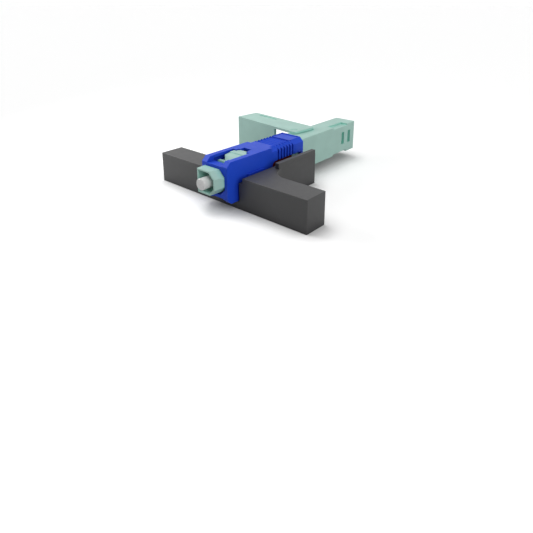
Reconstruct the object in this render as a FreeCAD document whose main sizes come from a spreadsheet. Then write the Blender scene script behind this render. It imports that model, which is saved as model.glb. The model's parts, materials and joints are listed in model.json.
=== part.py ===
import FreeCAD, Part
import math
import os
import re
import Sketcher

# A field-fitted fibre optic connector of the SC pattern, seated on its T-shaped wedge base.
#
# Model frame: origin at the middle of the crossbar's underside, Z up, Y along the connector
# from the ferrule to the cable end, X along the crossbar. The pieces of the connector are
# drawn about an axis: y from the front of the coupling sleeve, z from the sleeve's own axis
# (OUTER) or from the fibre's axis, which lies a little higher in the sleeve (CORE). The tail
# and the lever start where the stop ring ends.

SIZES = {
    # wedge base: crossbar, stem, rails and channel
    "bar_length": 43.14,
    "bar_depth": 5.84,
    "base_height": 7.06,
    "stem_width": 14.36,
    "stem_length": 16.57,
    "stem_fillet": 4.3,
    "rail_width": 1.05,
    "rail_length": 13.26,
    "rail_height": 1.26,
    "rail_foot": 0.24,
    "rail_inset": 0.05,
    "ledge_width": 10.2,
    "ledge_depth": 1.16,
    "channel_gap": 0.15,
    "floor_gap": 0.03,
    "core_size": 3.4,
    "core_pitch": 4.6,
    "core_count": 3,
    "core_start": 8.6,
    "core_roof": 1.3,
    "edge_round": 0.12,
    # wedge insert: foot and two blades
    "foot_width": 3.2,
    "foot_front": 15.2,
    "foot_rear": 20.2,
    "foot_flange": 0.5,
    "foot_flange_low": 0.35,
    "foot_flange_high": 0.95,
    "foot_gap": 0.03,
    "blade_thickness": 0.5,
    "blade_tip": 0.24,
    "blade_taper": 0.9,
    "blade_length": 1.2,
    "blade_front": 15.8,
    "blade_pitch": 2.5,
    "blade_reach": 0.55,
    # placing of the connector on the base
    "axis_height": 6.25,
    "sleeve_overhang": 2.85,
    "core_raise": 0.25,
    # coupling sleeve
    "sleeve_cover": 0.25,
    "sleeve_width": 7.4,
    "sleeve_height": 9.0,
    "sleeve_wall": 0.65,
    "ear_gap": 4.5,
    "ear_bevel": 1.0,
    "mouth_bevel": 1.4,
    "lip_length": 1.95,
    "lip_wall": 0.65,
    "window_width": 4.9,
    "window_end": 7.9,
    "neck_width": 3.0,
    "neck_length": 0.7,
    "tongue_width": 2.24,
    "tongue_length": 1.4,
    "shoulder_start": 13.75,
    "corner_bevel": 1.0,
    "cutout_front": 13.9,
    "cutout_end": 0.8,
    "cutout_top": 1.2,
    "cutout_corner": 1.0,
    "grip_front": 15.1,
    "grip_sink": 0.3,
    "collar_length": 4.4,
    "collar_sink": 0.16,
    "rim_length": 0.4,
    "groove_first": 15.98,
    "groove_pitch": 1.02,
    "groove_count": 6,
    "groove_width": 0.5,
    "groove_depth": 0.38,
    "groove_top": 3.92,
    "crest_depth": 0.05,
    "collar_bevel": 0.15,
    "rib_proud": 0.3,
    "rib_height": 1.36,
    "rib_front": 5.9,
    "rib_rear": 10.8,
    "key_proud": 0.85,
    "key_height": 2.2,
    "key_front": 5.0,
    "key_rear": 13.0,
    # plug frame
    "frame_width": 5.7,
    "frame_height": 5.0,
    "frame_rear": 10.2,
    "frame_bevel": 1.5,
    "slide_gap": 0.05,
    "nose_length": 2.45,
    "nose_width": 5.0,
    "nose_height": 5.2,
    "nose_bevel": 1.4,
    "cavity_width": 4.4,
    "cavity_height": 4.5,
    "cavity_bevel": 1.3,
    "rear_room_bevel": 1.0,
    "seat_front": 2.5,
    "seat_wall": 0.85,
    "seat_gap": 0.22,
    "lug_width": 4.0,
    "lug_gap": 0.1,
    "ridge_front": 3.05,
    "ridge_rear": 3.8,
    "ridge_width": 4.4,
    "ridge_height": 0.5,
    "lug_foot_height": 0.3,
    "lug_nose_width": 1.4,
    "lug_front": 4.9,
    "lug_front_height": 1.2,
    "lug_slope_end": 6.45,
    "lug_slope_height": 1.38,
    "lug_height": 1.52,
    "lug_rear": 8.75,
    # ferrule, its flange and the fibre fixed in it
    "ferrule_diameter": 2.5,
    "ferrule_length": 10.5,
    "ferrule_reach": 3.95,
    "ferrule_bevel": 0.15,
    "ferrule_root": 2.3,
    "root_diameter": 2.0,
    "fibre_diameter": 0.125,
    "fibre_end": 14.4,
    "bore_gap": 0.0125,
    "glue_gap": 0.01,
    "flange_diameter": 4.1,
    "flange_thickness": 1.2,
    "barrel_diameter": 3.2,
    # mechanical splice
    "splice_front": 8.2,
    "splice_rear": 20.6,
    "splice_width": 2.8,
    "parting_shift": 0.065,
    "groove_half": 0.16,
    "splice_opening": 0.06,
    "lid_gap": 0.2,
    "lid_front_end": 11.5,
    "lid_middle_end": 17.2,
    "notch_width": 0.62,
    "notch_reach": 0.5,
    "float_travel": 1.0,
    "float_room": 0.12,
    "clamp_wall": 0.2,
    "clamp_gap": 0.03,
    "clamp_slit": 1.3,
    "clamp_inset": 0.4,
    # spring and stop ring
    "spring_wire": 0.3,
    "spring_diameter": 2.7,
    "spring_turns": 4.5,
    "spring_gap": 0.02,
    "stop_length": 3.23,
    "stop_width": 5.4,
    "stop_height": 6.8,
    "stop_wall": 1.05,
    # splice holder
    "holder_width": 5.9,
    "holder_height": 7.0,
    "holder_bore": 4.0,
    "holder_slit": 1.2,
    # tail body
    "tail_width": 5.86,
    "tail_height": 7.8,
    "tail_drop": 0.17,
    "tail_length": 24.4,
    "tail_neck_height": 7.4,
    "tail_neck_length": 2.15,
    "channel_front": 11.55,
    "channel_height": 3.35,
    "channel_wall": 1.03,
    "passage_width": 2.0,
    "recess_front": 14.35,
    "recess_rear": 20.8,
    "recess_width": 2.03,
    "recess_depth": 0.48,
    "slot_front": 18.25,
    "slot_length": 1.3,
    "slot_pitch": 3.0,
    "tail_corner": 0.06,
    # hinge and lever lid
    "pin_across": 2.3,
    "pin_along": 4.3,
    "pin_radius": 0.8,
    "pin_gap": 0.05,
    "pin_sink": 0.08,
    "lever_open": 83.5,
    "lever_gap": 0.1,
    "lever_wall": 0.57,
    "lever_before": 1.6,
    "lever_reach": 20.7,
    "lever_side": 1.5,
    "lever_side_end": 1.25,
    "lever_edge": 5.75,
    "lever_edge_end": 5.5,
    "web_gap": 0.12,
    "web_start": 5.8,
    "latch_front": 11.0,
    "latch_rear": 18.0,
    "latch_inner": 3.92,
    "latch_outer": 4.6,
    "latch_depth": 0.25,
    "lever_round": 0.6,
    # fibre guide
    "guide_length": 5.0,
    "guide_diameter": 2.9,
    "guide_nose": 1.2,
    "guide_nose_length": 3.0,
    "guide_mouth": 2.0,
    "guide_cone": 2.6,
    "guide_bore": 0.4,
    # jacket grip
    "grip_plate_front": 17.35,
    "grip_plate_rear": 23.45,
    "grip_plate_wall": 0.3,
    "grip_plate_gap": 0.06,
    "grip_tab": 0.3,
    "tooth_height": 0.5,
    "tooth_pitch": 1.0,
    "tooth_count": 5,
}

document = FreeCAD.newDocument("connector")
sheet = document.addObject("Spreadsheet::Sheet", "sizes")
for row, (size_name, size_value) in enumerate(SIZES.items(), start=1):
    sheet.set("A%d" % row, size_name)
    sheet.set("B%d" % row, str(size_value))
    sheet.setAlias("B%d" % row, size_name)
document.recompute()

# Places that several pieces share, worked out from the sheet's sizes
SLEEVE_FRONT = "-(bar_depth / 2 + sleeve_overhang)"
FLOOR = "(axis_height - sleeve_height / 2 - floor_gap)"
SEAT_REAR = "(seat_front + seat_wall)"
NECK_END = "(window_end + neck_length)"
TONGUE_END = "(window_end + neck_length + tongue_length)"
STOP_FRONT = "(splice_rear + float_travel + float_room)"
STOP_REAR = "(splice_rear + float_travel + float_room + stop_length)"
SLEEVE_REAR = "(splice_rear + float_travel + float_room + stop_length + sleeve_cover)"
SLEEVE_INNER_WIDTH = "(sleeve_width / 2 - sleeve_wall)"
SLEEVE_INNER_HEIGHT = "(sleeve_height / 2 - sleeve_wall)"
OPENING_WIDTH = "(frame_width / 2 + slide_gap)"
OPENING_HEIGHT = "(frame_height / 2 + core_raise + slide_gap)"
BLADE_END = "(blade_front + blade_pitch + blade_length)"
CLAMP_INNER = "(splice_width / 2 + clamp_gap)"
CLAMP_OUTER = "(splice_width / 2 + clamp_gap + clamp_wall)"
CHANNEL_WALL = "(tail_width / 2 - channel_wall)"
TAIL_FRONT = SLEEVE_FRONT + " + " + STOP_REAR
OUTER = ("0", SLEEVE_FRONT, "axis_height")
CORE = ("0", SLEEVE_FRONT, "axis_height + core_raise")
TAIL = ("0", TAIL_FRONT, "axis_height - tail_drop")
CLOSE = 0.001


def formula(text):
    """Arithmetic on size names, with each name read from the sheet."""
    def sheet_name(match):
        word = match.group()
        return "sizes." + word if word in SIZES else word
    return re.sub(r"[a-z_]+", sheet_name, text)


def size(name):
    """The number that the sheet now holds for one size."""
    return float(sheet.get(name))


def box(left, right, low, high):
    """The four corners of an upright rectangle."""
    return [(left, low), (right, low), (right, high), (left, high)]


def centred(half_width, half_height):
    """The four corners of a rectangle about the axis."""
    return box("-" + half_width, half_width, "-" + half_height, half_height)


def mirrored(points):
    """An outline drawn on its right side, completed on the left."""
    return points + [("-(" + across + ")", up) for across, up in reversed(points)]


def octagon(half_width, half_height, bevel):
    """A rectangle about the axis with all four corners bevelled."""
    near = half_width + " - " + bevel
    top = half_height + " - " + bevel
    return mirrored([
        (near, "-" + half_height),
        (half_width, "-(" + top + ")"),
        (half_width, top),
        (near, half_height),
    ])


class Piece:
    """One moulded, turned or folded piece: a body whose features follow in order."""

    def __init__(self, label, place=("0", "0", "0")):
        self.label = label
        self.volume = 0.0
        self.body = document.addObject("PartDesign::Body", label)
        self.body.Label = label
        self.origin = {part.Role: part for part in self.body.Origin.OriginFeatures}
        for axis, distance in zip("xyz", place):
            self.body.setExpression("Placement.Base." + axis, formula(distance))

    def sketch(self, name, plane, level):
        """An empty sketch parallel to one of the body's own planes."""
        sketch = self.body.newObject("Sketcher::SketchObject", self.label + "_" + name + "_sketch")
        sketch.AttachmentSupport = [(self.origin[plane + "_Plane"], "")]
        sketch.MapMode = "FlatFace"
        sketch.setExpression("AttachmentOffset.Base.z", formula(level))
        return sketch

    def level(self, plane, low, high, cut):
        """Where a sketch lies, so that its feature fills or clears the space from low to high."""
        if plane == "XZ":
            return "-(" + (low if cut else high) + ")"
        return high if cut else low

    def extrude(self, name, sketch, length, cut):
        kind = "PartDesign::Pocket" if cut else "PartDesign::Pad"
        feature = self.body.newObject(kind, self.label + "_" + name)
        feature.Profile = sketch
        feature.Reversed = False
        feature.setExpression("Length", formula(length))
        self.compare(feature, cut)
        return feature

    def compare(self, feature, cut):
        """Stop if a feature has failed, or has not changed the volume the way that it should."""
        document.recompute()
        change = feature.Shape.Volume - self.volume
        if (change >= 0) if cut else (change <= 0):
            raise ValueError("no effect: " + feature.Label)
        self.volume = feature.Shape.Volume

    def pad(self, name, plane, points, low, high, cut=False):
        """A prism on a polygon, between two levels across its plane."""
        sketch = self.sketch(name, plane, self.level(plane, low, high, cut))
        polygon(sketch, points)
        return self.extrude(name, sketch, "(" + high + ") - (" + low + ")", cut)

    def pocket(self, name, plane, points, low, high):
        return self.pad(name, plane, points, low, high, cut=True)

    def round_pad(self, name, plane, centre, radius, low, high, cut=False):
        """A round post or hole, between two levels across its plane."""
        sketch = self.sketch(name, plane, self.level(plane, low, high, cut))
        circle(sketch, centre, radius)
        return self.extrude(name, sketch, "(" + high + ") - (" + low + ")", cut)

    def hole(self, name, plane, centre, radius, low, high):
        return self.round_pad(name, plane, centre, radius, low, high, cut=True)

    def turn(self, name, points):
        """A turned form about the connector's axis, from its half outline in y and radius."""
        sketch = self.sketch(name, "YZ", "0")
        polygon(sketch, points)
        feature = self.body.newObject("PartDesign::Revolution", self.label + "_" + name)
        feature.Profile = sketch
        feature.ReferenceAxis = (sketch, ["H_Axis"])
        feature.Angle = 360
        self.compare(feature, False)
        return feature

    def loft(self, name, front, rear, front_level, rear_level):
        """A form that changes evenly from one outline across the axis to another."""
        sketches = []
        for end, points, level in (("front", front, front_level), ("rear", rear, rear_level)):
            sketch = self.sketch(name + "_" + end, "XZ", "-(" + level + ")")
            polygon(sketch, points)
            sketches.append(sketch)
        feature = self.body.newObject("PartDesign::AdditiveLoft", self.label + "_" + name)
        feature.Profile = sketches[0]
        feature.Sections = sketches[1:]
        feature.Ruled = True
        self.compare(feature, False)
        return feature

    def row(self, name, features, axis, pitch, count, cut):
        """Copies of features at an even pitch along one of the body's own axes."""
        feature = self.body.newObject("PartDesign::LinearPattern", self.label + "_" + name)
        feature.Originals = features
        feature.Direction = (self.origin[axis + "_Axis"], [""])
        feature.Mode = "Spacing"
        feature.setExpression("Offset", formula(pitch))
        feature.setExpression("Occurrences", formula(count))
        self.body.Tip = feature
        self.compare(feature, cut)
        return feature

    def mirror(self, name, features, plane, cut):
        """The same features on the other side of one of the body's own planes."""
        feature = self.body.newObject("PartDesign::Mirrored", self.label + "_" + name)
        feature.Originals = features
        feature.MirrorPlane = (self.origin[plane + "_Plane"], [""])
        self.body.Tip = feature
        self.compare(feature, cut)
        return feature

    def dress(self, name, kind, chosen, amount):
        """Round or bevel the edges that a test chooses."""
        base = self.body.Tip
        names = ["Edge%d" % number for number, edge in enumerate(base.Shape.Edges, start=1) if chosen(edge)]
        feature = self.body.newObject("PartDesign::" + kind, self.label + "_" + name)
        feature.Base = (base, names)
        feature.setExpression("Radius" if kind == "Fillet" else "Size", formula(amount))
        document.recompute()
        self.volume = feature.Shape.Volume
        return feature


def polygon(sketch, points):
    """A closed chain of straight edges, each corner held at its two distances from the origin."""
    count = len(points)
    start = []
    for number in range(count):
        angle = 2 * math.pi * number / count
        start.append(FreeCAD.Vector(math.cos(angle), math.sin(angle), 0))
    for number in range(count):
        sketch.addGeometry(Part.LineSegment(start[number], start[(number + 1) % count]), False)
    for number in range(count):
        sketch.addConstraint(Sketcher.Constraint("Coincident", number, 2, (number + 1) % count, 1))
    for number, corner in enumerate(points):
        for kind, distance in zip(("DistanceX", "DistanceY"), corner):
            index = sketch.addConstraint(Sketcher.Constraint(kind, number, 1, 1.0))
            sketch.setExpression("Constraints[%d]" % index, formula(distance))


def circle(sketch, centre, radius):
    """A circle held by its centre and its radius."""
    round_edge = Part.Circle(FreeCAD.Vector(0, 0, 0), FreeCAD.Vector(0, 0, 1), 1.0)
    number = sketch.addGeometry(round_edge, False)
    for kind, distance in zip(("DistanceX", "DistanceY"), centre):
        index = sketch.addConstraint(Sketcher.Constraint(kind, number, 3, 1.0))
        sketch.setExpression("Constraints[%d]" % index, formula(distance))
    index = sketch.addConstraint(Sketcher.Constraint("Radius", number, 1.0))
    sketch.setExpression("Constraints[%d]" % index, formula(radius))


def same(first, second):
    """Whether two lengths are equal, but for rounding."""
    return abs(first - second) < CLOSE


def is_upright(edge):
    return edge.BoundBox.XLength < CLOSE and edge.BoundBox.YLength < CLOSE


def upright_at(across, along):
    """A test for the upright edges at one place in plan, on either side."""
    def chosen(edge):
        centre = edge.CenterOfMass
        return is_upright(edge) and same(abs(centre.x), across) and same(centre.y, along)
    return chosen


def wedge_base():
    """T-shaped moulding: crossbar, stem with two rails, stepped channel, cored underside."""
    piece = Piece("wedge_base")
    half_bar = "bar_length / 2"
    back = "bar_depth / 2"
    half_stem = "stem_width / 2"
    stem_end = "bar_depth / 2 + stem_length"
    plan = mirrored([
        (half_bar, "-" + back),
        (half_bar, back),
        (half_stem, back),
        (half_stem, stem_end),
    ])
    piece.pad("plan", "XY", plan, "0", "base_height")
    piece.dress("inner_corner", "Fillet", upright_at(size("stem_width") / 2, size("bar_depth") / 2), "stem_fillet")
    rail_start = stem_end + " - rail_length"
    rail = box(half_stem + " - rail_width", half_stem, rail_start, stem_end)
    rail_pad = piece.pad("rail", "XY", rail, "base_height", "base_height + rail_height")
    piece.mirror("rails", [rail_pad], "YZ", False)
    side = box(half_stem + " - rail_inset", half_stem, "base_height + rail_foot", "base_height + rail_height")
    side_step = piece.pocket("rail_side", "XZ", side, rail_start, stem_end)
    piece.mirror("rail_sides", [side_step], "YZ", True)
    front = "-" + back
    ledge = box("-ledge_width / 2", "ledge_width / 2", "base_height - ledge_depth", "base_height")
    piece.pocket("ledge", "XZ", ledge, front, stem_end)
    key_side = "-(sleeve_width / 2 + key_proud + channel_gap)"
    rib_side = "sleeve_width / 2 + rib_proud + channel_gap"
    channel = box(key_side, rib_side, FLOOR, "base_height - ledge_depth")
    piece.pocket("channel", "XZ", channel, front, stem_end)
    core = box("core_start", "core_start + core_size", "-core_size / 2", "core_size / 2")
    roof = "base_height - core_roof"
    first = piece.pocket("core", "XY", core, "0", roof)
    cores = piece.row("cores", [first], "X", "core_pitch", "core_count", True)
    left_core = box("-(core_start + core_size)", "-core_start", "-core_size / 2", "core_size / 2")
    left = piece.pocket("left_core", "XY", left_core, "0", roof)
    left_row = piece.row("left_cores", [left], "X", "core_pitch", "core_count", True)
    left_row.Reversed = True
    document.recompute()
    across = "foot_width / 2 + foot_gap"
    hole = box("-(" + across + ")", across, SLEEVE_FRONT + " + foot_front - foot_gap",
               SLEEVE_FRONT + " + foot_rear + foot_gap")
    piece.pocket("foot_hole", "XY", hole, "0", FLOOR)
    wide = "foot_width / 2 + foot_flange + foot_gap"
    step = box("-(" + wide + ")", wide, SLEEVE_FRONT + " + foot_front - foot_flange - foot_gap",
               SLEEVE_FRONT + " + foot_rear + foot_flange + foot_gap")
    piece.pocket("foot_step", "XY", step, "0", "foot_flange_high")
    top = size("base_height")
    half_length = size("bar_length") / 2
    half_depth = size("bar_depth") / 2

    def rim(edge):
        """The upper front and end edges and the four upright corners of the crossbar."""
        bounds = edge.BoundBox
        upper = same(bounds.ZMin, top) and same(bounds.ZMax, top)
        at_front = same(bounds.YMin, -half_depth) and same(bounds.YMax, -half_depth)
        at_end = same(abs(edge.CenterOfMass.x), half_length)
        upright = same(bounds.ZLength, top)
        return (upper and (at_front or at_end)) or (upright and at_end)

    piece.dress("rim", "Fillet", rim, "edge_round")
    return piece


def wedge_insert():
    """Foot that is pressed into the base from below, with two blades that open the splice."""
    piece = Piece("wedge_insert", ("0", SLEEVE_FRONT, "0"))
    half_foot = "foot_width / 2"
    piece.pad("foot", "XY", box("-" + half_foot, half_foot, "foot_front", "foot_rear"), "foot_flange_low", FLOOR)
    half_flange = "foot_width / 2 + foot_flange"
    flange = box("-(" + half_flange + ")", half_flange, "foot_front - foot_flange", "foot_rear + foot_flange")
    piece.pad("flange", "XY", flange, "foot_flange_low", "foot_flange_high")
    tip = "axis_height + core_raise - blade_reach"
    blade = mirrored([
        ("blade_thickness / 2", "foot_flange_high"),
        ("blade_thickness / 2", tip + " - blade_taper"),
        ("blade_tip / 2", tip),
    ])
    first = piece.pad("blade", "XZ", blade, "blade_front", "blade_front + blade_length")
    piece.row("blades", [first], "Y", "blade_pitch", "2", False)
    return piece


def coupling_sleeve():
    """Outer sleeve: ears and lip in front, latch windows, ribbed grip, lower cut-out, collar."""
    piece = Piece("coupling_sleeve", OUTER)
    half_width = "sleeve_width / 2"
    half_height = "sleeve_height / 2"
    front = "shoulder_start"
    piece.pad("front", "XZ", centred(half_width, half_height), "0", front)
    shoulder = octagon(half_width, half_height, "corner_bevel")
    piece.pad("rear", "XZ", shoulder, front, SLEEVE_REAR + " - collar_bevel")
    end = octagon("(sleeve_width / 2 - collar_bevel)", "(sleeve_height / 2 - collar_bevel)", "corner_bevel")
    piece.loft("collar_end", shoulder, end, SLEEVE_REAR + " - collar_bevel", SLEEVE_REAR)
    inner = centred(SLEEVE_INNER_WIDTH, SLEEVE_INNER_HEIGHT)
    piece.pocket("inside", "XZ", inner, "lip_length", SLEEVE_REAR)
    piece.pocket("mouth", "XZ", one_sided(OPENING_WIDTH, OPENING_HEIGHT, "mouth_bevel"), "0", "lip_length")
    lip_top = OPENING_HEIGHT + " + lip_wall"
    gap = piece.pocket("ear_gap", "XZ", box("-ear_gap / 2", "ear_gap / 2", lip_top, half_height), "0", "lip_length")
    piece.mirror("ear_gaps", [gap], "XY", True)
    window = mirrored([
        ("window_width / 2", "lip_length"),
        ("window_width / 2", "window_end"),
        ("neck_width / 2", "window_end"),
        ("neck_width / 2", NECK_END),
        ("tongue_width / 2", NECK_END),
        ("tongue_width / 2", TONGUE_END),
    ])
    piece.pocket("windows", "XY", window, "-" + half_height, half_height)
    bevel = [("0", half_height), ("0", half_height + " - ear_bevel"), ("ear_bevel", half_height)]
    upper = piece.pocket("ear_bevel", "YZ", bevel, "-" + half_width, half_width)
    piece.mirror("ear_bevels", [upper], "XY", True)
    cutout_rear = SLEEVE_REAR + " - cutout_end"
    corner = [
        ("cutout_front", "-" + half_height),
        (cutout_rear, "-" + half_height),
        (cutout_rear, "cutout_top"),
        ("cutout_front + cutout_corner", "cutout_top"),
        ("cutout_front + 0.293 * cutout_corner", "cutout_top - 0.293 * cutout_corner"),
        ("cutout_front", "cutout_top - cutout_corner"),
    ]
    piece.pocket("cutout", "YZ", corner, "-" + half_width, half_width)
    flat = "sleeve_width / 2 - corner_bevel"
    collar_front = SLEEVE_REAR + " - collar_length"
    sink = box("-(" + flat + ")", flat, "grip_front", collar_front)
    piece.pocket("grip", "XY", sink, "sleeve_height / 2 - grip_sink", half_height)
    collar = box("-(" + flat + ")", flat, collar_front, SLEEVE_REAR + " - rim_length")
    piece.pocket("collar", "XY", collar, "sleeve_height / 2 - collar_sink", half_height)
    crest = box("groove_first - groove_width / 2", "groove_first + groove_width / 2",
                "sleeve_height / 2 - grip_sink - crest_depth", half_height)
    notch = piece.pocket("crest", "YZ", crest, "-" + half_width, half_width)
    piece.row("crests", [notch], "Y", "groove_pitch", "groove_count", True)
    groove = box("groove_first - groove_width / 2", "groove_first + groove_width / 2", "cutout_top", "groove_top")
    right = piece.pocket("groove", "YZ", groove, "sleeve_width / 2 - groove_depth", half_width)
    piece.row("grooves", [right], "Y", "groove_pitch", "groove_count", True)
    left = piece.pocket("left_groove", "YZ", groove, "-" + half_width, "groove_depth - sleeve_width / 2")
    piece.row("left_grooves", [left], "Y", "groove_pitch", "groove_count", True)
    rib = box("rib_front", "rib_rear", "-rib_height / 2", "rib_height / 2")
    piece.pad("rib", "YZ", rib, half_width, "sleeve_width / 2 + rib_proud")
    key = box("key_front", "key_rear", "-key_height / 2", "key_height / 2")
    piece.pad("key", "YZ", key, "-(sleeve_width / 2 + key_proud)", "-" + half_width)
    return piece


def one_sided(half_width, half_height, bevel):
    """A rectangle about the axis whose two corners on the right are bevelled."""
    return [
        ("-" + half_width, "-" + half_height),
        (half_width + " - " + bevel, "-" + half_height),
        (half_width, "-(" + half_height + " - " + bevel + ")"),
        (half_width, half_height + " - " + bevel),
        (half_width + " - " + bevel, half_height),
        ("-" + half_width, half_height),
    ]


def latch_lug(piece, name, root, sign, datum):
    """A low ridge, then a lug with a narrow ramp, a slope, a raised flat, a neck and a tongue."""
    foot = sign + "(" + root + ")"
    ridge_top = sign + "(" + datum + " + ridge_height)"
    ridge = [
        ("ridge_front", foot),
        ("ridge_front", ridge_top),
        ("ridge_rear", ridge_top),
        ("ridge_rear", foot),
    ]
    piece.pad(name + "_ridge", "YZ", ridge, "-ridge_width / 2", "ridge_width / 2")
    head_end = "window_end - lug_gap"
    top = sign + "(" + datum + " + lug_height)"
    head = [
        ("ridge_rear", foot),
        ("ridge_rear", sign + "(" + datum + " + lug_foot_height)"),
        ("lug_front", sign + "(" + datum + " + lug_front_height)"),
        ("lug_slope_end", sign + "(" + datum + " + lug_slope_height)"),
        ("lug_slope_end", top),
        (head_end, top),
        (head_end, foot),
    ]
    piece.pad(name + "_lug", "YZ", head, "-lug_width / 2", "lug_width / 2")
    low, high = (foot, top) if sign == "" else (top, foot)
    corner = [
        ("lug_nose_width / 2", "ridge_rear"),
        ("lug_width / 2", "ridge_rear"),
        ("lug_width / 2", "lug_front"),
    ]
    cut = piece.pocket(name + "_lug_corner", "XY", corner, low, high)
    piece.mirror(name + "_lug_corners", [cut], "YZ", True)
    steps = (
        ("_neck", "neck_width / 2 - lug_gap", head_end, NECK_END + " - lug_gap"),
        ("_tongue", "tongue_width / 2 - lug_gap", NECK_END + " - lug_gap", "lug_rear"),
    )
    for step, half, front, rear in steps:
        piece.pad(name + step, "XY", box("-(" + half + ")", half, front, rear), low, high)


def plug_frame():
    """Plug housing: flared nose, seat for the ferrule's flange, a latch lug above and below."""
    piece = Piece("plug_frame", CORE)
    main = one_sided("frame_width / 2", "frame_height / 2", "frame_bevel")
    nose = one_sided("nose_width / 2", "nose_height / 2", "nose_bevel")
    piece.pad("main", "XZ", main, "0", "frame_rear")
    piece.loft("nose", nose, main, "-nose_length", "0")
    cavity = one_sided("cavity_width / 2", "cavity_height / 2", "cavity_bevel")
    piece.pocket("front_room", "XZ", cavity, "-nose_length", "seat_front")
    rear_room = one_sided("cavity_width / 2", "cavity_height / 2", "rear_room_bevel")
    piece.pocket("rear_room", "XZ", rear_room, SEAT_REAR, "frame_rear")
    piece.hole("seat", "XZ", ("0", "0"), "ferrule_diameter / 2 + seat_gap", "seat_front", SEAT_REAR)
    latch_lug(piece, "upper", "frame_height / 2", "", "frame_height / 2")
    latch_lug(piece, "lower", "frame_height / 2", "-", "frame_height / 2 + 2 * core_raise")
    return piece


def ferrule():
    """Ground ceramic cylinder with a fine bore, a bevelled tip and a slimmer root for the glue."""
    piece = Piece("ferrule", CORE)
    radius = "ferrule_diameter / 2"
    bore = "fibre_diameter / 2 + bore_gap"
    tip = "-ferrule_reach"
    rear = "ferrule_length - ferrule_reach"
    root = "root_diameter / 2"
    piece.turn("body", [
        (tip, bore),
        (tip, radius + " - ferrule_bevel"),
        (tip + " + ferrule_bevel", radius),
        ("ferrule_root", radius),
        ("ferrule_root", root),
        (rear, root),
        (rear, bore),
    ])
    return piece


def ferrule_flange():
    """Collar that carries the ferrule and butts on the splice behind it."""
    piece = Piece("ferrule_flange", CORE)
    rim_end = SEAT_REAR + " + flange_thickness"
    socket = "root_diameter / 2 + glue_gap"
    rear = "splice_front"
    socket_end = "ferrule_length - ferrule_reach"
    bore = "fibre_diameter"
    piece.turn("body", [
        (SEAT_REAR, socket),
        (SEAT_REAR, "flange_diameter / 2"),
        (rim_end, "flange_diameter / 2"),
        (rim_end, "barrel_diameter / 2"),
        (rear, "barrel_diameter / 2"),
        (rear, bore),
        (socket_end, bore),
        (socket_end, socket),
    ])
    return piece


def fibre_stub():
    """Short length of bare fibre, flush with the ferrule's tip."""
    piece = Piece("fibre_stub", CORE)
    piece.round_pad("body", "XZ", ("0", "0"), "fibre_diameter / 2", "-ferrule_reach", "fibre_end")
    return piece


def blade_notch(piece, left, right, front, rear):
    """The space that the blades need in the lower edge of a splice half."""
    notch = box(left, right, "-splice_width / 2", "-notch_reach")
    piece.pocket("notch", "XZ", notch, front, rear)


NOTCH_FRONT = "(blade_front - float_travel - float_room)"
NOTCH_REAR = "(blade_front + blade_pitch + blade_length + float_room)"


def splice_base():
    """Half of the splice that has the groove for the fibres."""
    piece = Piece("splice_base", CORE)
    half = "splice_width / 2"
    piece.pad("body", "XZ", box("-" + half, "parting_shift", "-" + half, half), "splice_front", "splice_rear")
    groove = [
        ("parting_shift", "-groove_half"),
        ("parting_shift", "groove_half"),
        ("parting_shift - groove_half", "0"),
    ]
    piece.pocket("groove", "XZ", groove, "splice_front", "splice_rear")
    blade_notch(piece, "-notch_width / 2", "parting_shift", NOTCH_FRONT, NOTCH_REAR)
    return piece


def splice_lid(name, front, rear, opening, notch):
    """One of the flat lids that press the fibres into the groove."""
    piece = Piece("splice_lid_" + name, CORE)
    half = "splice_width / 2"
    inner = "parting_shift + " + opening
    piece.pad("body", "XZ", box(inner, half, "-" + half, half), front, rear)
    if notch:
        blade_notch(piece, inner, "notch_width / 2", notch[0], notch[1])
    return piece


def splice_clamp(name, front, rear):
    """Spring clip round the splice, open below where the blades come in."""
    piece = Piece("splice_clamp_" + name, CORE)
    slit = "clamp_slit / 2"
    section = [
        (slit, "-" + CLAMP_OUTER),
        (CLAMP_OUTER, "-" + CLAMP_OUTER),
        (CLAMP_OUTER, CLAMP_OUTER),
        ("-" + CLAMP_OUTER, CLAMP_OUTER),
        ("-" + CLAMP_OUTER, "-" + CLAMP_OUTER),
        ("-" + slit, "-" + CLAMP_OUTER),
        ("-" + slit, "-" + CLAMP_INNER),
        ("-" + CLAMP_INNER, "-" + CLAMP_INNER),
        ("-" + CLAMP_INNER, CLAMP_INNER),
        (CLAMP_INNER, CLAMP_INNER),
        (CLAMP_INNER, "-" + CLAMP_INNER),
        (slit, "-" + CLAMP_INNER),
    ]
    piece.pad("body", "XZ", section, front, rear)
    return piece


def splice_holder():
    """Inner housing round the splice, slit below for the blades."""
    piece = Piece("splice_holder", CORE)
    outer = octagon("holder_width / 2", "holder_height / 2", "edge_round")
    piece.pad("body", "XZ", outer, "frame_rear", STOP_FRONT)
    piece.pocket("bore", "XZ", centred("holder_bore / 2", "holder_bore / 2"), "frame_rear", STOP_FRONT)
    slit = box("-holder_slit / 2", "holder_slit / 2", "blade_front - 2 * float_room", BLADE_END + " + 2 * float_room")
    piece.pocket("slit", "XY", slit, "-holder_height / 2", "-holder_bore / 2")
    return piece


def stop_ring():
    """Ring that closes the housing behind the splice and backs the spring."""
    piece = Piece("stop_ring", CORE)
    piece.pad("body", "XZ", octagon("stop_width / 2", "stop_height / 2", "edge_round"), STOP_FRONT, STOP_REAR)
    room = "spring_diameter / 2 + spring_wire / 2"
    wall = STOP_REAR + " - stop_wall"
    piece.hole("spring_room", "XZ", ("0", "0"), room, STOP_FRONT, wall)
    piece.hole("guide_hole", "XZ", ("0", "0"), "guide_nose / 2 + 2 * slide_gap", wall, STOP_REAR)
    return piece


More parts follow.
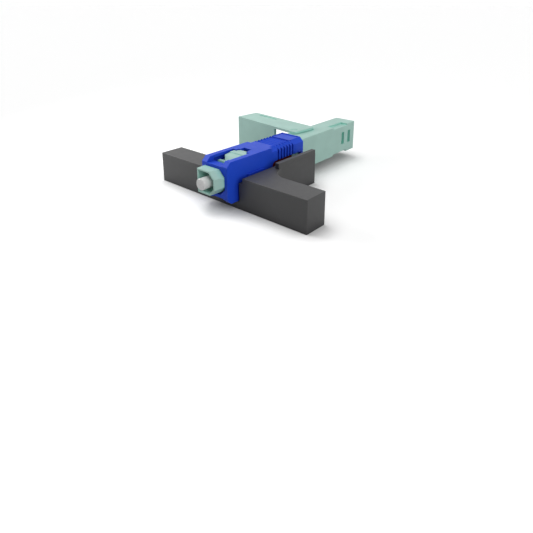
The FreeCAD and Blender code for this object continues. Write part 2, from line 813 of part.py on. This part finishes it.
def ferrule_spring():
    """Coil spring that pushes the splice and the ferrule forward, of six-sided wire."""
    wire = size("spring_wire")
    mean = (size("spring_diameter") - wire) / 2
    splice_end = size("splice_rear")
    stop_wall = splice_end + size("float_travel") + size("float_room") + size("stop_length") - size("stop_wall")
    front = splice_end + size("spring_gap") + wire / 2
    rear = stop_wall - size("spring_gap") - wire / 2
    path = Part.makeHelix((rear - front) / size("spring_turns"), rear - front, mean)
    corners = []
    for number in range(7):
        angle = number * math.pi / 3
        corners.append(FreeCAD.Vector(mean + wire / 2 * math.cos(angle), 0, wire / 2 * math.sin(angle)))
    coil = Part.Wire(path.Edges).makePipeShell([Part.makePolygon(corners)], True, True)
    spring = document.addObject("Part::Feature", "ferrule_spring")
    spring.Label = "ferrule_spring"
    spring.Shape = coil
    sleeve_front = -(size("bar_depth") / 2 + size("sleeve_overhang"))
    place = FreeCAD.Vector(0, sleeve_front + front, size("axis_height") + size("core_raise"))
    spring.Placement = FreeCAD.Placement(place, FreeCAD.Rotation(FreeCAD.Vector(1, 0, 0), -90))
    document.recompute()
    return spring


def fibre_guide():
    """Funnel that leads the bare fibre from the cable channel into the splice."""
    piece = Piece("fibre_guide", CORE)
    front = STOP_REAR + " - guide_nose_length"
    rear = STOP_REAR + " + guide_length"
    piece.turn("body", [
        (front, "guide_bore / 2"),
        (front, "guide_nose / 2"),
        (STOP_REAR, "guide_nose / 2"),
        (STOP_REAR, "guide_diameter / 2"),
        (rear, "guide_diameter / 2"),
        (rear, "guide_mouth / 2"),
        (rear + " - guide_cone", "guide_bore / 2"),
    ])
    return piece


def tail_body():
    """Cable clamp body: hinge pins, channel for a flat cable, latch recesses and grip slots."""
    piece = Piece("tail_body", TAIL)
    half_width = "tail_width / 2"
    half_height = "tail_height / 2"
    neck_end = "tail_neck_length"
    shift = "tail_drop"
    core = "tail_drop + core_raise"
    neck = box("-" + half_width, half_width, shift + " - tail_neck_height / 2", shift + " + tail_neck_height / 2")
    piece.pad("neck", "XZ", neck, "0", neck_end)
    outer = octagon(half_width, half_height, "tail_corner")
    piece.pad("body", "XZ", outer, neck_end, "tail_length")
    piece.hole("guide_bore", "XZ", ("0", core), "guide_diameter / 2 + glue_gap", "0", "guide_length")
    across = "passage_width / 2"
    passage = box("-" + across, across, core + " - " + across, core + " + " + across)
    piece.pocket("passage", "XZ", passage, "guide_length", "channel_front")
    low = shift + " - channel_height / 2"
    high = shift + " + channel_height / 2"
    piece.pocket("channel", "XZ", box("-" + half_width, CHANNEL_WALL, low, high), "channel_front", "tail_length")
    recess = box("tail_width / 2 - recess_width", half_width, "recess_front", "recess_rear")
    top = piece.pocket("recess", "XY", recess, "tail_height / 2 - recess_depth", half_height)
    piece.mirror("recesses", [top], "XY", True)
    slot = box("slot_front", "slot_front + slot_length", low, high)
    first = piece.pocket("slot", "YZ", slot, CHANNEL_WALL, half_width)
    piece.row("slots", [first], "Y", "slot_pitch", "2", True)
    pin_end = "tail_height / 2 + lever_gap + lever_wall - pin_sink"
    pin = piece.round_pad("pin", "XY", ("-pin_across", "pin_along"), "pin_radius", half_height, pin_end)
    piece.mirror("pins", [pin], "XY", False)
    return piece


def jacket_grip():
    """Toothed strip on the channel's wall, with two tabs in the wall's slots."""
    piece = Piece("jacket_grip", ("0", TAIL_FRONT, "axis_height"))
    half = "channel_height / 2 - grip_plate_gap"
    back = CHANNEL_WALL
    face = CHANNEL_WALL + " - grip_plate_wall"
    plate = box("grip_plate_front", "grip_plate_rear", "-(" + half + ")", half)
    piece.pad("plate", "YZ", plate, face, back)
    tab = box("slot_front + grip_plate_gap", "slot_front + slot_length - grip_plate_gap", "-(" + half + ")", half)
    first_tab = piece.pad("tab", "YZ", tab, back, back + " + grip_tab")
    piece.row("tabs", [first_tab], "Y", "slot_pitch", "2", False)
    start = "grip_plate_front + tooth_pitch / 2"
    tooth = [
        (face, start),
        (face, start + " + tooth_pitch / 2"),
        (face + " - tooth_height", start),
    ]
    first_tooth = piece.pad("tooth", "XY", tooth, "-(" + half + ")", half)
    piece.row("teeth", [first_tooth], "Y", "tooth_pitch", "tooth_count", False)
    return piece


def lever_lid():
    """Lever of U section that swings shut over the cable channel, drawn shut about its pin."""
    place = ("-pin_across", TAIL_FRONT + " + pin_along", "axis_height - tail_drop")
    piece = Piece("lever_lid", place)
    inner = "tail_height / 2 + lever_gap"
    outer = "tail_height / 2 + lever_gap + lever_wall"
    front = "-lever_before"
    plan = [
        ("-lever_side", front),
        ("lever_edge", front),
        ("lever_edge_end", "lever_reach"),
        ("-lever_side_end", "lever_reach"),
    ]
    piece.pad("plan", "XY", plan, "-(" + outer + ")", outer)
    web_inner = "pin_across - tail_width / 2 - web_gap"
    beyond = "lever_edge + lever_side"
    inside = [
        ("-lever_edge", "web_start"),
        ("-lever_edge", front + " - lever_side"),
        (beyond, front + " - lever_side"),
        (beyond, "lever_reach + lever_side"),
        (web_inner, "lever_reach + lever_side"),
        (web_inner, "web_start"),
    ]
    piece.pocket("inside", "XY", inside, "-(" + inner + ")", inner)
    latch = box("latch_inner", "latch_outer", "latch_front", "latch_rear")
    slot = piece.pocket("latch_slot", "XY", latch, outer + " - latch_depth", outer)
    piece.mirror("latch_slots", [slot], "XY", True)
    piece.hole("pin_holes", "XY", ("0", "0"), "pin_radius + pin_gap", "-(" + outer + ")", outer)

    def corner(edge):
        """The upright outer corners of the two plates, away from the web."""
        centre = edge.CenterOfMass
        at_front = same(centre.y, -size("lever_before"))
        at_end = same(centre.y, size("lever_reach")) and centre.x > 0
        return is_upright(edge) and (at_front or at_end)

    piece.dress("corners", "Fillet", corner, "lever_round")
    piece.body.setExpression("Placement.Rotation.Angle", formula("lever_open"))
    return piece


def build():
    """Make every piece, in the order in which the connector goes together."""
    pieces = [wedge_base(), wedge_insert(), coupling_sleeve(), plug_frame()]
    pieces += [ferrule(), ferrule_flange(), fibre_stub(), splice_base()]
    middle_front = "lid_front_end + lid_gap"
    rear_front = "lid_middle_end + lid_gap"
    pieces.append(splice_lid("front", "splice_front", "lid_front_end", "0", None))
    pieces.append(splice_lid("middle", middle_front, "lid_middle_end", "splice_opening",
                             (NOTCH_FRONT, "lid_middle_end")))
    pieces.append(splice_lid("rear", rear_front, "splice_rear", "splice_opening", (rear_front, NOTCH_REAR)))
    pieces.append(splice_clamp("front", "splice_front + clamp_inset", "lid_front_end - clamp_inset"))
    pieces.append(splice_clamp("rear", middle_front + " + clamp_inset", "splice_rear - clamp_inset"))
    pieces += [splice_holder(), stop_ring(), fibre_guide(), tail_body(), jacket_grip(), lever_lid()]
    return [piece.body for piece in pieces] + [ferrule_spring()]


def write(parts):
    """Check every object, then write each piece to a file of its own name."""
    document.recompute()
    for item in document.Objects:
        if "Invalid" in item.State or "Error" in item.State:
            raise ValueError("failed: " + item.Label)
    for part in parts:
        if part.Shape.isNull() or not part.Shape.isValid():
            raise ValueError("bad shape: " + part.Label)
        print(part.Label, len(part.Shape.Solids), round(part.Shape.Volume, 3))
    os.makedirs("parts", exist_ok=True)
    for part in parts:
        part.Shape.exportStep("parts/" + part.Label + ".step")


write(build())
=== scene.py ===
import json
import math

import bpy
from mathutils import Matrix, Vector


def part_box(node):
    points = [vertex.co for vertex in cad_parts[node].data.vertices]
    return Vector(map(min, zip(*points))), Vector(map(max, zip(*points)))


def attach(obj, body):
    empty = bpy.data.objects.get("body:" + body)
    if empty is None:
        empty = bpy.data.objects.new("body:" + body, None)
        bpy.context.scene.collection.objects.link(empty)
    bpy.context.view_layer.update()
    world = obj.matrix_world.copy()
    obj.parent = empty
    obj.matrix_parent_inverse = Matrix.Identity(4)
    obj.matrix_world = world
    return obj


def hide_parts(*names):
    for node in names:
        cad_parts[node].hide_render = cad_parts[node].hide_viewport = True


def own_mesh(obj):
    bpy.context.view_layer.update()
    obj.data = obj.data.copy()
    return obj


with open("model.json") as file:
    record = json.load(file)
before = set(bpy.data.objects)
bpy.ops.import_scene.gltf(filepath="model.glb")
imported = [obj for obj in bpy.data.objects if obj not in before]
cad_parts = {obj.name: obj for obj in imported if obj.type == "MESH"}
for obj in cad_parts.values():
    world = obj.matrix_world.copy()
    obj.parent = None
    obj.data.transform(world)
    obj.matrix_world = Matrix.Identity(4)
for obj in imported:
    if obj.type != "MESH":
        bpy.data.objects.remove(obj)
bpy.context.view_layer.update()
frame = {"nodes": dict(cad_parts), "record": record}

MM = 0.001
WHITE = (1, 1, 1, 1)

# Camera, fitted to the photograph's frame of 533 by 533 pixels, with its angles in degrees
IMAGE_SIZE = 533
FOCAL_PIXELS = 465.12
CENTRE_PIXEL = (271.76, 157.6)
SENSOR_WIDTH = 36.0
CAMERA_PLACE = (67.2 * MM, -65.67 * MM, 41.23 * MM)
CAMERA_AZIMUTH = 40.8
CAMERA_ELEVATION = 18.58
NEAREST = 5 * MM
FARTHEST = 20.0

# Light levels: a white card that faces up gets 0.86 of white from the fill, the key and the side light
WORLD_FILL = 0.30
KEY_STRENGTH = 0.375 * math.pi
KEY_FROM = (-0.40, 0.05, 1.0)
KEY_SPREAD = 36
SIDE_STRENGTH = 0.50 * math.pi
SIDE_FROM = (0.90, -0.12, 0.42)
SIDE_SPREAD = 60
PANEL_POWER = 0.038
PANEL_SIZE = 45 * MM
PANEL_PLACE = (-75 * MM, -28 * MM, 50 * MM)
PANEL_AIM = (-5 * MM, 8 * MM, 6 * MM)

# Floor: where it is seen or mirrored, where a shadow is painted on it close to the object, and in the light
# that it throws back
FLOOR_SIZE = 8.0
FLOOR_SEEN = (0.97, 0.97, 0.97, 1)
FLOOR_SHADED = (0.45, 0.45, 0.45, 1)
FLOOR_BOUNCE = (0.43, 0.43, 0.43, 1)
FLOOR_GLOW = 0.16
SHADOW_REACH = 5 * MM
SHADOW_CORE = 0.3

# Crevices, which get painted shade, and rubbed edges: their reach, and the cosines of the rounded normal's
# turn off an edge and on it
PAINTED_SHADE_REACH = 1.6 * MM
OPENNESS_SAMPLES = 8
EDGE_REACH = 0.10 * MM
EDGE_SAMPLES = 6
EDGE_UNTURNED = 0.995
EDGE_TURNED = 0.85

# Noise: the part of its range that most of its values lie in
NOISE_LOW = 0.35
NOISE_HIGH = 0.65

# Moulded plastic: noise at scales per metre, and shades as factors on the colour
MOTTLE_SCALE = 220
MOTTLE_DETAIL = 4
MOTTLE_DARK = 0.96
MOTTLE_PALE = 1.035
RUBBED_PALE = 1.25
SKIN_SCALE = 700
SKIN_DETAIL = 3
SKIN_SMOOTHER = 0.05
SKIN_ROUGHER = 0.07
GRAIN_SCALE = 9000
GRAIN_DETAIL = 2
GRAIN_STRENGTH = 0.35
GRAIN_DEPTH = 0.006 * MM

# Sunk grip of the sleeve, which is rougher on top than the rest of the sleeve
GRIP_FRONT = 15.1 * MM
GRIP_SKIN = 0.55 * MM
COLLAR_LENGTH = 4.4 * MM
GRIP_ROUGHNESS = 0.7

# Ceramic, with grinding rings round its length
CERAMIC_GREY = (0.61, 0.61, 0.61)
RING_SCALE = 1500
RING_DETAIL = 3
RING_STRETCH = (0.4, 9, 0.4)
RING_DARK = 0.95
RING_PALE = 1.04
RING_SMOOTH = 0.22
RING_ROUGH = 0.36
RING_STRENGTH = 0.2
RING_DEPTH = 0.004 * MM

# Metal, with fine lines along its length
LINE_SCALE = 2500
LINE_DETAIL = 3
LINE_STRETCH = (1, 0.1, 1)
LINE_DARK = 0.85
LINE_PALE = 1.1
LINE_SMOOTHER = 0.08
LINE_ROUGHER = 0.1
LINE_STRENGTH = 0.25
LINE_DEPTH = 0.004 * MM

# Glass fibre
GLASS_TINT = (0.9, 0.95, 1, 1)
GLASS_CLEARNESS = 0.8
GLASS_REFRACTION = 1.46
HAZE_SCALE = 3000
HAZE_DETAIL = 2
HAZE_SMOOTH = 0.02
HAZE_ROUGH = 0.08

# Spring behind the splice, wound like the solid that it stands for
SPRING_WIRE = 0.3 * MM
SPRING_TURNS = 4.5
STEPS_PER_TURN = 32
WIRE_ROUNDNESS = 3


class Tree:
    """A node tree, with short ways to add nodes and to feed them."""

    def __init__(self, tree):
        self.tree = tree

    def node(self, kind, **settings):
        """A new node with its settings."""
        made = self.tree.nodes.new(kind)
        for setting, value in settings.items():
            setattr(made, setting, value)
        return made

    def feed(self, socket, source):
        """Feed a socket from another node's output, or with a plain value."""
        if isinstance(source, bpy.types.NodeSocket):
            self.tree.links.new(source, socket)
        else:
            socket.default_value = source

    def reckon(self, operation, first, second):
        """One step of arithmetic on two numbers."""
        step = self.node("ShaderNodeMath", operation=operation)
        self.feed(step.inputs[0], first)
        self.feed(step.inputs[1], second)
        return step.outputs["Value"]

    def spread(self, factor, low, high, start=0.0, stop=1.0):
        """A number that runs from low to high while the factor runs from start to stop."""
        spread = self.node("ShaderNodeMapRange")
        self.feed(spread.inputs["Value"], factor)
        self.feed(spread.inputs["From Min"], start)
        self.feed(spread.inputs["From Max"], stop)
        self.feed(spread.inputs["To Min"], low)
        self.feed(spread.inputs["To Max"], high)
        return spread.outputs["Result"]

    def mix(self, factor, low, high, kind="RGBA"):
        """A colour or a number that goes from low to high while the factor goes from 0 to 1."""
        mix = self.node("ShaderNodeMix", data_type=kind)
        self.feed(mix.inputs["Factor"], factor)
        self.feed(mix.inputs["A"], low)
        self.feed(mix.inputs["B"], high)
        return mix.outputs["Result"]


class Recipe(Tree):
    """A material's node tree, which ends in the sockets of its surface."""

    def __init__(self, name):
        self.material = bpy.data.materials.new(name)
        self.material.use_nodes = True
        super().__init__(self.material.node_tree)
        self.shader = self.tree.nodes["Principled BSDF"]

    def surface(self, name, source):
        """Feed one socket of the surface."""
        self.feed(self.shader.inputs[name], source)

    def place(self):
        """The place of a point in the object's own space."""
        return self.node("ShaderNodeTexCoord").outputs["Object"]

    def noise(self, scale, detail, stretch=(1, 1, 1)):
        """Noise in the object's own space, at a scale per metre."""
        mapping = self.node("ShaderNodeMapping")
        self.feed(mapping.inputs["Vector"], self.place())
        self.feed(mapping.inputs["Scale"], stretch)
        noise = self.node("ShaderNodeTexNoise")
        self.feed(noise.inputs["Vector"], mapping.outputs["Vector"])
        self.feed(noise.inputs["Scale"], scale)
        self.feed(noise.inputs["Detail"], detail)
        return noise.outputs["Fac"]

    def ramp(self, factor, low, high, start=NOISE_LOW, stop=NOISE_HIGH):
        """Two colours, blended where the factor runs from start to stop."""
        ramp = self.node("ShaderNodeValToRGB")
        first, last = ramp.color_ramp.elements
        first.position = start
        first.color = low
        last.position = stop
        last.color = high
        self.feed(ramp.inputs["Fac"], factor)
        return ramp.outputs["Color"]

    def openness(self, reach):
        """A factor that falls from 1 to 0 as more of what lies above a point is blocked within reach."""
        hollow = self.node("ShaderNodeAmbientOcclusion", samples=OPENNESS_SAMPLES)
        self.feed(hollow.inputs["Distance"], reach)
        return hollow.outputs["AO"]

    def rounded(self, reach):
        """The surface's normal, rounded over near each edge."""
        bevel = self.node("ShaderNodeBevel", samples=EDGE_SAMPLES)
        self.feed(bevel.inputs["Radius"], reach)
        return bevel.outputs["Normal"]

    def rubbed(self, normal):
        """A factor that rises to 1 on an edge, where the rounded normal turns away from the true one."""
        turn = self.node("ShaderNodeVectorMath", operation="DOT_PRODUCT")
        self.feed(turn.inputs[0], normal)
        self.feed(turn.inputs[1], self.node("ShaderNodeNewGeometry").outputs["Normal"])
        return self.spread(turn.outputs["Value"], 0.0, 1.0, EDGE_UNTURNED, EDGE_TURNED)

    def inside(self, low, high):
        """A factor that is 1 inside a box in the object's own space, and 0 outside it."""
        place = self.node("ShaderNodeSeparateXYZ")
        self.feed(place.inputs["Vector"], self.place())
        found = 1.0
        for axis, near, far in zip("XYZ", low, high):
            past_near = self.reckon("GREATER_THAN", place.outputs[axis], near)
            before_far = self.reckon("LESS_THAN", place.outputs[axis], far)
            found = self.reckon("MULTIPLY", found, self.reckon("MULTIPLY", past_near, before_far))
        return found

    def bump(self, height, strength, depth, normal=None):
        """Raise and sink the surface by a height, on top of a normal that is already rounded."""
        bump = self.node("ShaderNodeBump")
        self.feed(bump.inputs["Height"], height)
        self.feed(bump.inputs["Strength"], strength)
        self.feed(bump.inputs["Distance"], depth)
        if normal:
            self.feed(bump.inputs["Normal"], normal)
        self.surface("Normal", bump.outputs["Normal"])


def shade(colour, factor):
    """A colour made lighter or darker."""
    return tuple(min(1.0, part * factor) for part in colour[:3]) + (1.0,)


def grip_zone():
    """The box that holds the top of the sleeve's sunk grip, in the sleeve's own space."""
    low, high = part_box("coupling_sleeve")
    near = Vector((low[0], low[1] + GRIP_FRONT, high[2] - GRIP_SKIN))
    far = Vector((high[0], high[1] - COLLAR_LENGTH, high[2]))
    home = frame["nodes"]["coupling_sleeve"].matrix_world.inverted()
    return home @ near, home @ far


def moulded_plastic(name, colour, painted_crevice_shade, roughness, mirror, rough_zone=None):
    """Moulded plastic: faint mottling, fine grain, rubbed paler on its edges, with painted shade deeper in
    its crevices.
    """
    recipe = Recipe(name)
    mottle = recipe.noise(MOTTLE_SCALE, MOTTLE_DETAIL)
    body = recipe.ramp(mottle, shade(colour, MOTTLE_DARK), shade(colour, MOTTLE_PALE))
    # Painted shade: the colour turns to a darker, deeper one where nearby walls hem the surface in
    body = recipe.mix(recipe.openness(PAINTED_SHADE_REACH), painted_crevice_shade + (1,), body)
    normal = recipe.rounded(EDGE_REACH)
    recipe.surface("Base Color", recipe.mix(recipe.rubbed(normal), body, shade(colour, RUBBED_PALE)))
    skin = recipe.noise(SKIN_SCALE, SKIN_DETAIL)
    finish = recipe.spread(skin, roughness - SKIN_SMOOTHER, roughness + SKIN_ROUGHER)
    if rough_zone:
        finish = recipe.mix(recipe.inside(*rough_zone), finish, GRIP_ROUGHNESS, kind="FLOAT")
    recipe.surface("Roughness", finish)
    recipe.surface("Specular IOR Level", mirror)
    recipe.bump(recipe.noise(GRAIN_SCALE, GRAIN_DETAIL), GRAIN_STRENGTH, GRAIN_DEPTH, normal)
    return recipe.material


def bare_metal(name, colour, roughness):
    """Rolled or turned metal with fine lines along it."""
    recipe = Recipe(name)
    lines = recipe.noise(LINE_SCALE, LINE_DETAIL, LINE_STRETCH)
    recipe.surface("Base Color", recipe.ramp(lines, shade(colour, LINE_DARK), shade(colour, LINE_PALE)))
    recipe.surface("Roughness", recipe.spread(lines, roughness - LINE_SMOOTHER, roughness + LINE_ROUGHER))
    recipe.surface("Metallic", 1.0)
    recipe.bump(lines, LINE_STRENGTH, LINE_DEPTH)
    return recipe.material


def base_black():
    """Black satin plastic of the wedge base."""
    return moulded_plastic("base_black", colour=(0.041, 0.041, 0.042), painted_crevice_shade=(0.010, 0.010, 0.014),
                           roughness=0.45, mirror=0.45)


def insert_grey():
    """Grey plastic of the blades that stand in the base."""
    return moulded_plastic("insert_grey", colour=(0.16, 0.16, 0.17), painted_crevice_shade=(0.08, 0.08, 0.09),
                           roughness=0.45, mirror=0.4)


def sleeve_blue():
    """Blue plastic of the coupling sleeve, rougher on top of its sunk grip."""
    return moulded_plastic("sleeve_blue", colour=(0.013, 0.062, 0.55), painted_crevice_shade=(0.004, 0.018, 0.38),
                           roughness=0.42, mirror=0.15, rough_zone=grip_zone())


def housing_aqua():
    """Pale aqua plastic of the housing, the tail and the lever, with painted shade and painted bounce light,
    greener, in its crevices.
    """
    # Its crevice colour is painted shade that also stands in for green light bounced between its walls
    return moulded_plastic("housing_aqua", colour=(0.35, 0.54, 0.485), painted_crevice_shade=(0.25, 0.67, 0.56),
                           roughness=0.45, mirror=0.25)


def holder_red():
    """Dark red plastic of the splice holder."""
    return moulded_plastic("holder_red", colour=(0.08, 0.002, 0.002), painted_crevice_shade=(0.04, 0.001, 0.001),
                           roughness=0.4, mirror=0.3)


def splice_plastic():
    """Off-white plastic of the splice's base and lids."""
    return moulded_plastic("splice_plastic", colour=(0.72, 0.72, 0.68), painted_crevice_shade=(0.5, 0.5, 0.46),
                           roughness=0.4, mirror=0.4)


def ferrule_ceramic():
    """Light grey ceramic of the ferrule, with faint grinding rings."""
    recipe = Recipe("ferrule_ceramic")
    rings = recipe.noise(RING_SCALE, RING_DETAIL, RING_STRETCH)
    dark = shade(CERAMIC_GREY, RING_DARK)
    pale = shade(CERAMIC_GREY, RING_PALE)
    recipe.surface("Base Color", recipe.ramp(rings, dark, pale))
    recipe.surface("Roughness", recipe.spread(rings, RING_SMOOTH, RING_ROUGH))
    recipe.bump(rings, RING_STRENGTH, RING_DEPTH, recipe.rounded(EDGE_REACH))
    return recipe.material


def flange_metal():
    """Turned metal of the ferrule's flange."""
    return bare_metal("flange_metal", colour=(0.62, 0.60, 0.55), roughness=0.3)


def spring_steel():
    """Steel of the spring and of the splice's clamps."""
    return bare_metal("spring_steel", colour=(0.60, 0.60, 0.60), roughness=0.25)


def fibre_glass():
    """Bare glass of the fibre."""
    recipe = Recipe("fibre_glass")
    haze = recipe.noise(HAZE_SCALE, HAZE_DETAIL)
    recipe.surface("Base Color", recipe.ramp(haze, GLASS_TINT, WHITE))
    recipe.surface("Roughness", recipe.spread(haze, HAZE_SMOOTH, HAZE_ROUGH))
    recipe.surface("Transmission Weight", GLASS_CLEARNESS)
    recipe.surface("IOR", GLASS_REFRACTION)
    return recipe.material


MATERIALS = {
    "base_black": base_black(),
    "insert_grey": insert_grey(),
    "sleeve_blue": sleeve_blue(),
    "housing_aqua": housing_aqua(),
    "holder_red": holder_red(),
    "splice_plastic": splice_plastic(),
    "ferrule_ceramic": ferrule_ceramic(),
    "flange_metal": flange_metal(),
    "spring_steel": spring_steel(),
    "fibre_glass": fibre_glass(),
}


def coat(mesh, slot):
    """Give a mesh the material of one slot and no other."""
    mesh.materials.clear()
    mesh.materials.append(MATERIALS[slot])


def finish_nodes():
    """Give every solid of the frame the material of its own slot."""
    for row in frame["record"]["subparts"]:
        coat(frame["nodes"][row["node"]].data, row["material_slot"])


def add_object(name, data):
    """A new object in the scene."""
    made = bpy.data.objects.new(name, data)
    bpy.context.scene.collection.objects.link(made)
    return made


def wound_wire(across, height, radius, front, rear):
    """A mesh of round wire, wound round a line along the connector from front to rear."""
    curve = bpy.data.curves.new("spring_line", "CURVE")
    curve.dimensions = "3D"
    curve.bevel_depth = SPRING_WIRE / 2
    curve.bevel_resolution = WIRE_ROUNDNESS
    curve.use_fill_caps = True
    line = curve.splines.new("POLY")
    steps = round(SPRING_TURNS * STEPS_PER_TURN)
    line.points.add(steps)
    for number, point in enumerate(line.points):
        share = number / steps
        turn = 2 * math.pi * SPRING_TURNS * share
        x = across + radius * math.cos(turn)
        y = front + (rear - front) * share
        z = height - radius * math.sin(turn)
        point.co = (x, y, z, 1)
    route = bpy.data.objects.new("spring_line", curve)
    mesh = bpy.data.meshes.new_from_object(route)
    bpy.data.objects.remove(route)
    mesh.shade_smooth()
    return mesh


def coil_spring():
    """The ferrule's spring in round wire, in place of its solid."""
    low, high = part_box("ferrule_spring")
    across = (low[0] + high[0]) / 2
    height = (low[2] + high[2]) / 2
    radius = (high[0] - low[0] - SPRING_WIRE) / 2
    front = low[1] + SPRING_WIRE / 2
    rear = high[1] - SPRING_WIRE / 2
    mesh = wound_wire(across, height, radius, front, rear)
    coat(mesh, "spring_steel")
    coil = add_object("coil_spring", mesh)
    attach(coil, "connector")
    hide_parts("ferrule_spring")
    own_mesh(coil)


def floor_material():
    """White where it is seen or mirrored, with a painted shadow close to the object, duller in the light it
    throws back.
    """
    recipe = Recipe("floor")
    path = recipe.node("ShaderNodeLightPath")
    seen = recipe.reckon("MAXIMUM", path.outputs["Is Camera Ray"], path.outputs["Is Transmission Ray"])
    seen = recipe.reckon("MAXIMUM", seen, path.outputs["Is Glossy Ray"])
    # Painted shadow: the floor's colour and glow turn darker where the object hems it in from above
    openness = recipe.openness(SHADOW_REACH)
    shown = recipe.ramp(openness, FLOOR_SHADED, FLOOR_SEEN, SHADOW_CORE, 1.0)
    glow = recipe.spread(path.outputs["Is Camera Ray"], 0.0, FLOOR_GLOW)
    recipe.surface("Base Color", recipe.mix(seen, FLOOR_BOUNCE, shown))
    recipe.surface("Emission Color", WHITE)
    recipe.surface("Emission Strength", recipe.reckon("MULTIPLY", glow, openness))
    recipe.surface("Roughness", 1.0)
    recipe.surface("Specular IOR Level", 0.0)
    return recipe.material


def floor():
    """A plain pale floor."""
    bpy.ops.mesh.primitive_plane_add(size=FLOOR_SIZE)
    plane = bpy.context.object
    plane.name = "floor"
    plane.data.materials.append(floor_material())


def surround():
    """White all round where it is seen or mirrored, and dimmer in the light that it gives."""
    world = bpy.data.worlds.new("studio")
    bpy.context.scene.world = world
    world.use_nodes = True
    background = world.node_tree.nodes["Background"]
    tree = Tree(world.node_tree)
    lit = tree.node("ShaderNodeLightPath").outputs["Is Diffuse Ray"]
    tree.feed(background.inputs["Strength"], tree.spread(lit, 1.0, WORLD_FILL))
    tree.feed(background.inputs["Color"], WHITE)


def sun(name, strength, source, spread):
    """An even, soft light that comes from one direction, given as a vector towards it."""
    data = bpy.data.lights.new(name, "SUN")
    data.energy = strength
    data.angle = math.radians(spread)
    lean = math.atan2(math.hypot(source[0], source[1]), source[2])
    add_object(name, data).rotation_euler = (lean, 0, math.atan2(source[0], -source[1]))


def panel():
    """A small soft lamp near the object, on its left."""
    data = bpy.data.lights.new("panel", "AREA")
    data.shape = "DISK"
    data.size = PANEL_SIZE
    data.energy = PANEL_POWER
    lamp = add_object("panel", data)
    lamp.location = PANEL_PLACE
    lamp.rotation_euler = (Vector(PANEL_AIM) - Vector(PANEL_PLACE)).to_track_quat("-Z", "Y").to_euler()


def studio():
    """Even fill from all round, a soft key from above, a second light from the right, a panel on the left."""
    surround()
    sun("key", KEY_STRENGTH, KEY_FROM, KEY_SPREAD)
    sun("side", SIDE_STRENGTH, SIDE_FROM, SIDE_SPREAD)
    panel()


def camera():
    """The photograph's viewpoint, with its off-centre framing as a small shift."""
    data = bpy.data.cameras.new("camera")
    data.sensor_width = SENSOR_WIDTH
    data.lens = SENSOR_WIDTH * FOCAL_PIXELS / IMAGE_SIZE
    data.shift_x = (IMAGE_SIZE / 2 - CENTRE_PIXEL[0]) / IMAGE_SIZE
    data.shift_y = (CENTRE_PIXEL[1] - IMAGE_SIZE / 2) / IMAGE_SIZE
    data.clip_start = NEAREST
    data.clip_end = FARTHEST
    shot = add_object("camera", data)
    shot.location = CAMERA_PLACE
    shot.rotation_euler = (math.radians(90 - CAMERA_ELEVATION), 0, math.radians(CAMERA_AZIMUTH))
    bpy.context.scene.camera = shot


bpy.context.scene.view_settings.view_transform = "Standard"
finish_nodes()
coil_spring()
floor()
studio()
camera()
